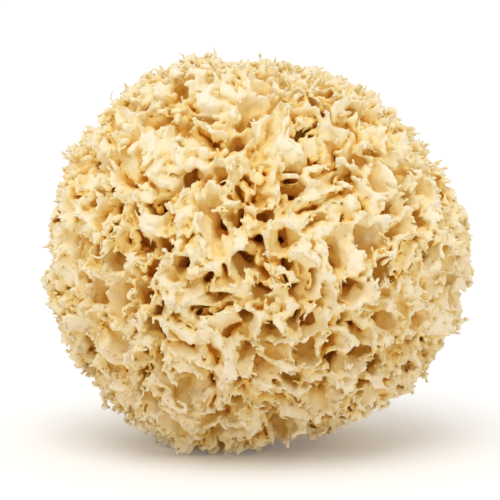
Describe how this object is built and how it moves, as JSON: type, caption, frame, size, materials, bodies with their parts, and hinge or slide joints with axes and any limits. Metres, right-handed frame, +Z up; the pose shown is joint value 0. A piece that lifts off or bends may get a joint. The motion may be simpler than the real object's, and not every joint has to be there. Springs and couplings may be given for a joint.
{
  "type": "sea sponge",
  "caption": "Dried wool sea sponge for the bath, round and trimmed, with ragged tufts and deep pores, standing on its flat base cut.",
  "frame": {"origin": "on the surface the sponge stands on, under the middle of its bounding box", "axes": "+Z up, +X along its width, -Y towards the front with the largest pores"},
  "size_m": [0.1408, 0.1306, 0.1266],
  "materials": {
    "spongin": "matt, fibrous, cream at the tuft tips and amber down in the pores"
  },
  "bodies": {
    "root": {"sponge": "spongin"}
  },
  "joints": []
}
